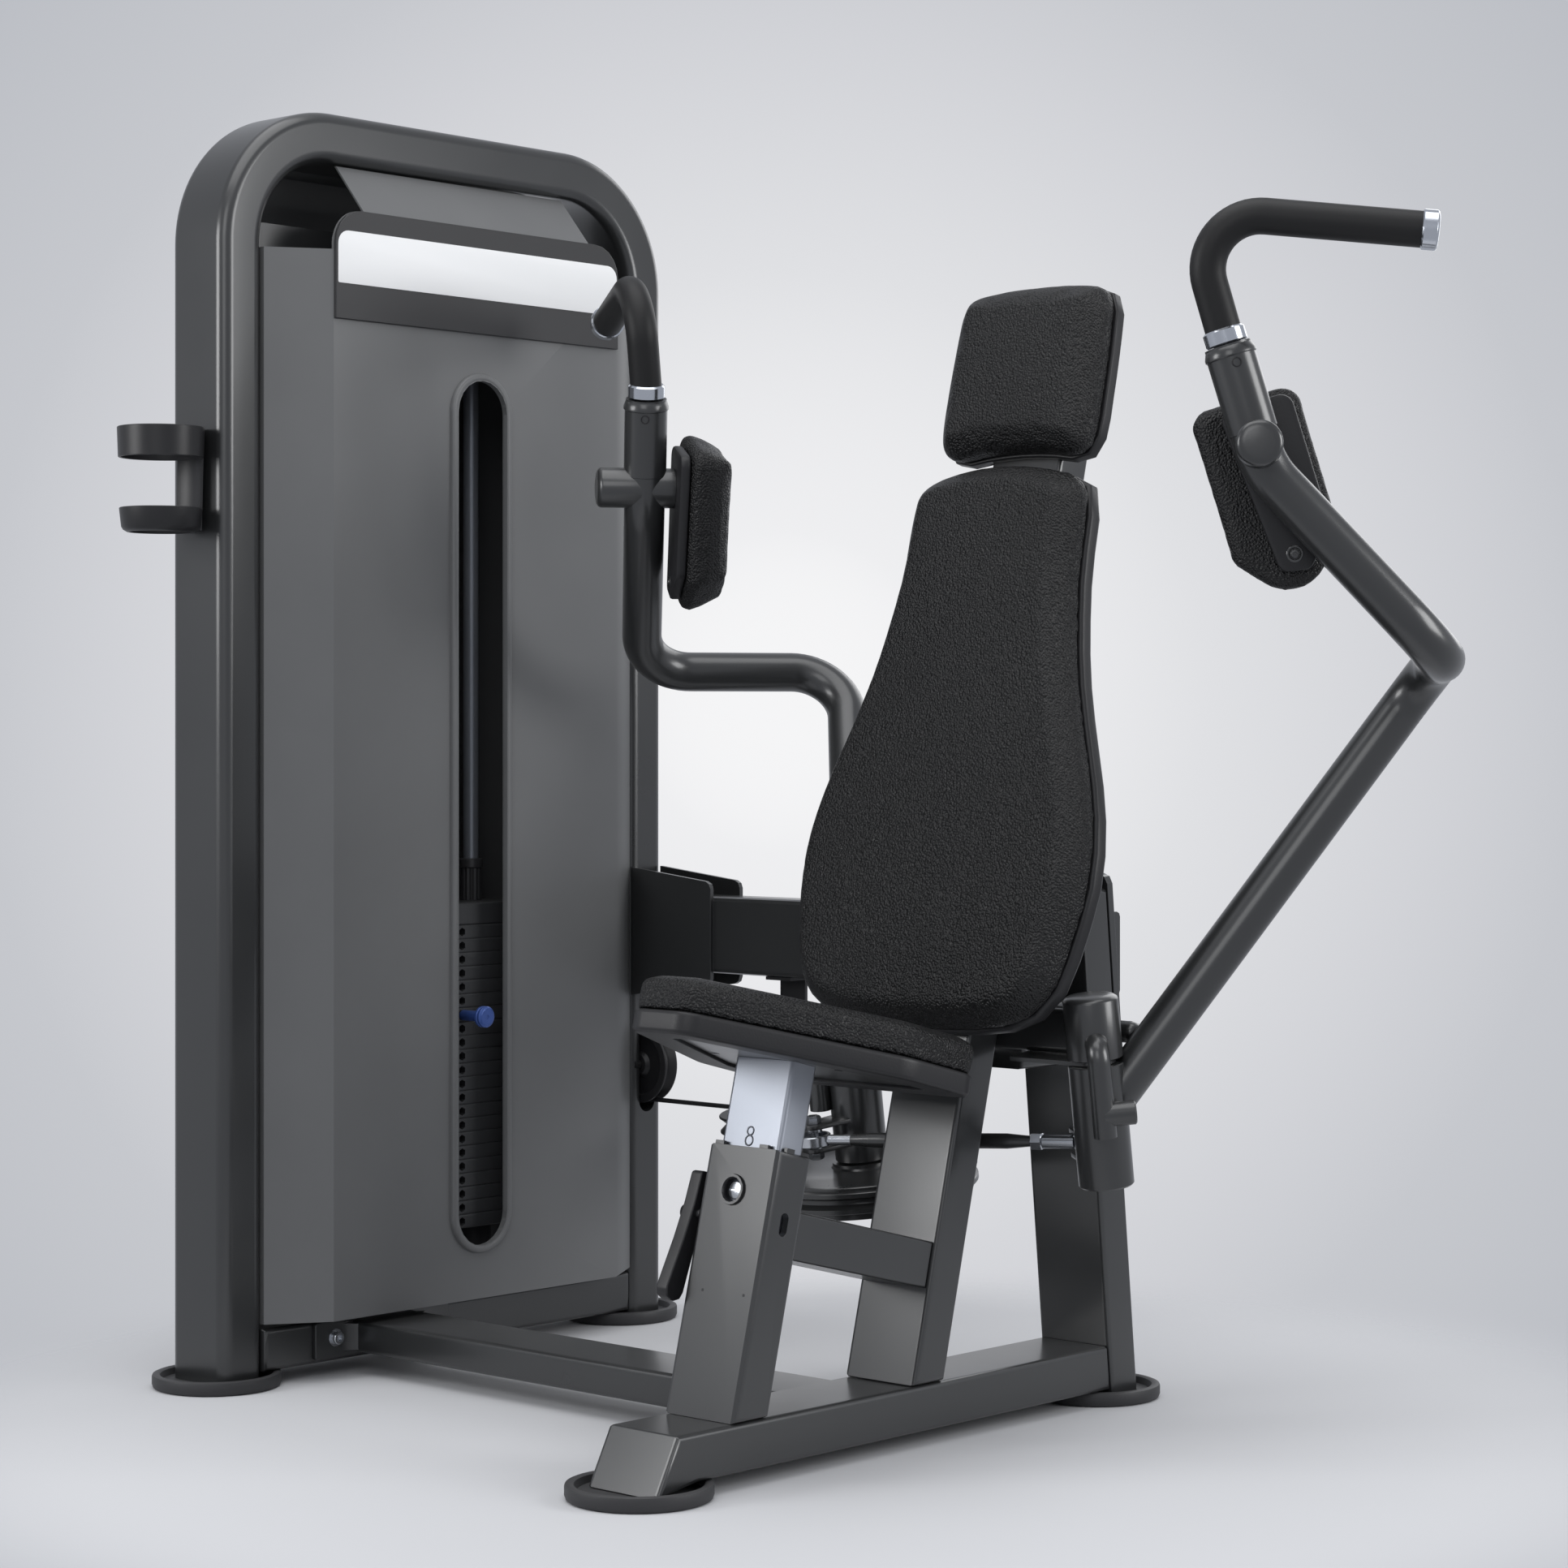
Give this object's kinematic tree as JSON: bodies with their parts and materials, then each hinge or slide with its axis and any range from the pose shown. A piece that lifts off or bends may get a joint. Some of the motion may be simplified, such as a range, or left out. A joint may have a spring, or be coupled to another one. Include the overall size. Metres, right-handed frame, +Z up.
{
  "type": "pec deck machine",
  "caption": "Selectorised chest fly machine with a weight tower, a leaning back pad, a raised seat and two padded arms on leaning pivots, tied by a rod.",
  "frame": {"origin": "middle of the machine's footprint, on the floor", "axes": "+Z up, +X from the weight tower towards the seat, -Y the way that the user faces"},
  "size_m": [1.475, 0.908, 1.5],
  "materials": {
    "frame_paint": "satin charcoal paint",
    "shroud_paint": "fine textured charcoal paint",
    "board": "matte, bare",
    "plate_steel": "black oxide",
    "rod_steel": "polished",
    "aluminium": "satin anodised",
    "bare_steel": "brushed",
    "rubber": "matte",
    "grip_rubber": "soft matte",
    "plastic": "moulded, fine texture",
    "black_plastic": "moulded, slight sheen",
    "leather": "black grained upholstery",
    "cable_jacket": "black jacket",
    "pin_blue": "blue anodised"
  },
  "bodies": {
    "root": {"tower_frame": "frame_paint", "tower_base_tube": "frame_paint", "top_cross_member": "frame_paint", "rod_top_bar": "frame_paint", "front_shroud": "shroud_paint", "rear_shroud": "shroud_paint", "placard_board": "board", "foot_tower_near": "rubber", "foot_tower_far": "rubber", "foot_front": "rubber", "foot_rear": "rubber", "guide_rod_near": "rod_steel", "guide_rod_far": "rod_steel", "stack_bumper_near": "rubber", "stack_bumper_far": "rubber", "lower_plates": "plate_steel", "redirect_bracket": "black_plastic", "cable_run": "cable_jacket", "cable_drop": "cable_jacket", "connecting_beam": "frame_paint", "seat_base_beam": "frame_paint", "seat_post_outer": "frame_paint", "post_brace": "frame_paint", "back_upright": "frame_paint", "rear_post": "frame_paint", "pivot_yoke": "frame_paint", "tie_beam": "frame_paint", "cup_holder": "frame_paint", "backrest_board": "plastic", "backrest_pad": "leather", "headrest_board": "plastic", "headrest_pad": "leather"},
    "arm_right": {"arm_right": "frame_paint", "grip_right": "grip_rubber", "pad_board_right": "plastic", "pad_right": "leather"},
    "arm_left": {"arm_left": "frame_paint", "cable_wheel": "black_plastic", "grip_left": "grip_rubber", "pad_board_left": "plastic", "pad_left": "leather"},
    "tie_rod": {"tie_rod": "black_plastic"},
    "stack": {"lifted_plates": "plate_steel", "top_plate": "plate_steel", "stack_bush": "black_plastic"},
    "selector_pin": {"selector_pin": "pin_blue"},
    "seat": {"seat_post_inner": "aluminium", "seat_plate": "bare_steel", "seat_board": "plastic", "seat_pad": "leather"},
    "seat_lever": {"seat_lever": "black_plastic"},
    "pulley_low": {"pulley_low": "black_plastic"},
    "pulley_redirect": {"pulley_redirect": "black_plastic"},
    "pulley_top_outer": {"pulley_top_outer": "black_plastic"},
    "pulley_top_centre": {"pulley_top_centre": "black_plastic"}
  },
  "joints": [
    {"name": "arm_right_swing", "type": "hinge", "parent": "root", "child": "arm_right", "pos_m": [0.31053, 0.148, 0.33], "axis": [0, 0.1426, -0.9898], "range_deg": [0, 70]},
    {"name": "arm_left_swing", "type": "hinge", "parent": "root", "child": "arm_left", "pos_m": [-0.03947, 0.148, 0.33], "axis": [0, -0.1426, 0.9898], "range_deg": [0, 70]},
    {"name": "tie_rod_pivot", "type": "hinge", "parent": "arm_right", "child": "tie_rod", "pos_m": [0.2637, 0.17769, 0.31811], "axis": [0, -0.1426, 0.9898], "range_deg": [0, 70]},
    {"name": "stack_lift", "type": "slide", "parent": "root", "child": "stack", "axis": [0, 0, 1], "range_m": [0, 0.153], "deforming": ["cable_drop"]},
    {"name": "pin_pull", "type": "slide", "parent": "stack", "child": "selector_pin", "axis": [1, 0, 0], "range_m": [0, 0.076]},
    {"name": "seat_height", "type": "slide", "parent": "root", "child": "seat", "axis": [0, 0.2436, 0.9699], "range_m": [0, 0.15]},
    {"name": "seat_lever_pull", "type": "hinge", "parent": "root", "child": "seat_lever", "pos_m": [0.0715, -0.23649, 0.26467], "axis": [1, 0, 0], "range_deg": [0, 15], "stiffness_Nm_per_rad": 3, "springref_deg": -8.59},
    {"name": "pulley_low_spin", "type": "hinge", "parent": "root", "child": "pulley_low", "pos_m": [-0.61247, 0.379, 0.33352], "axis": [0, -1, 0], "range_deg": [0, 200]},
    {"name": "pulley_redirect_spin", "type": "hinge", "parent": "root", "child": "pulley_redirect", "pos_m": [-0.36547, 0.33446, 0.2821], "axis": [0, 0.1426, -0.9898], "range_deg": [0, 200]},
    {"name": "pulley_top_outer_spin", "type": "hinge", "parent": "root", "child": "pulley_top_outer", "pos_m": [-0.65747, 0.334, 1.305], "axis": [-1, 0, 0], "range_deg": [0, 200]},
    {"name": "pulley_top_centre_spin", "type": "hinge", "parent": "root", "child": "pulley_top_centre", "pos_m": [-0.65747, 0.093, 1.305], "axis": [-1, 0, 0], "range_deg": [0, 200]}
  ],
  "couplings": [
    {"joint": "arm_left_swing", "follows": "arm_right_swing", "ratio": 1},
    {"joint": "tie_rod_pivot", "follows": "arm_right_swing", "ratio": 1},
    {"joint": "stack_lift", "follows": "arm_right_swing", "m_per_rad": 0.125},
    {"joint": "pulley_low_spin", "follows": "arm_right_swing", "ratio": 2.7778},
    {"joint": "pulley_redirect_spin", "follows": "arm_right_swing", "ratio": 2.7778},
    {"joint": "pulley_top_outer_spin", "follows": "arm_right_swing", "ratio": 2.7778},
    {"joint": "pulley_top_centre_spin", "follows": "arm_right_swing", "ratio": 2.7778}
  ]
}
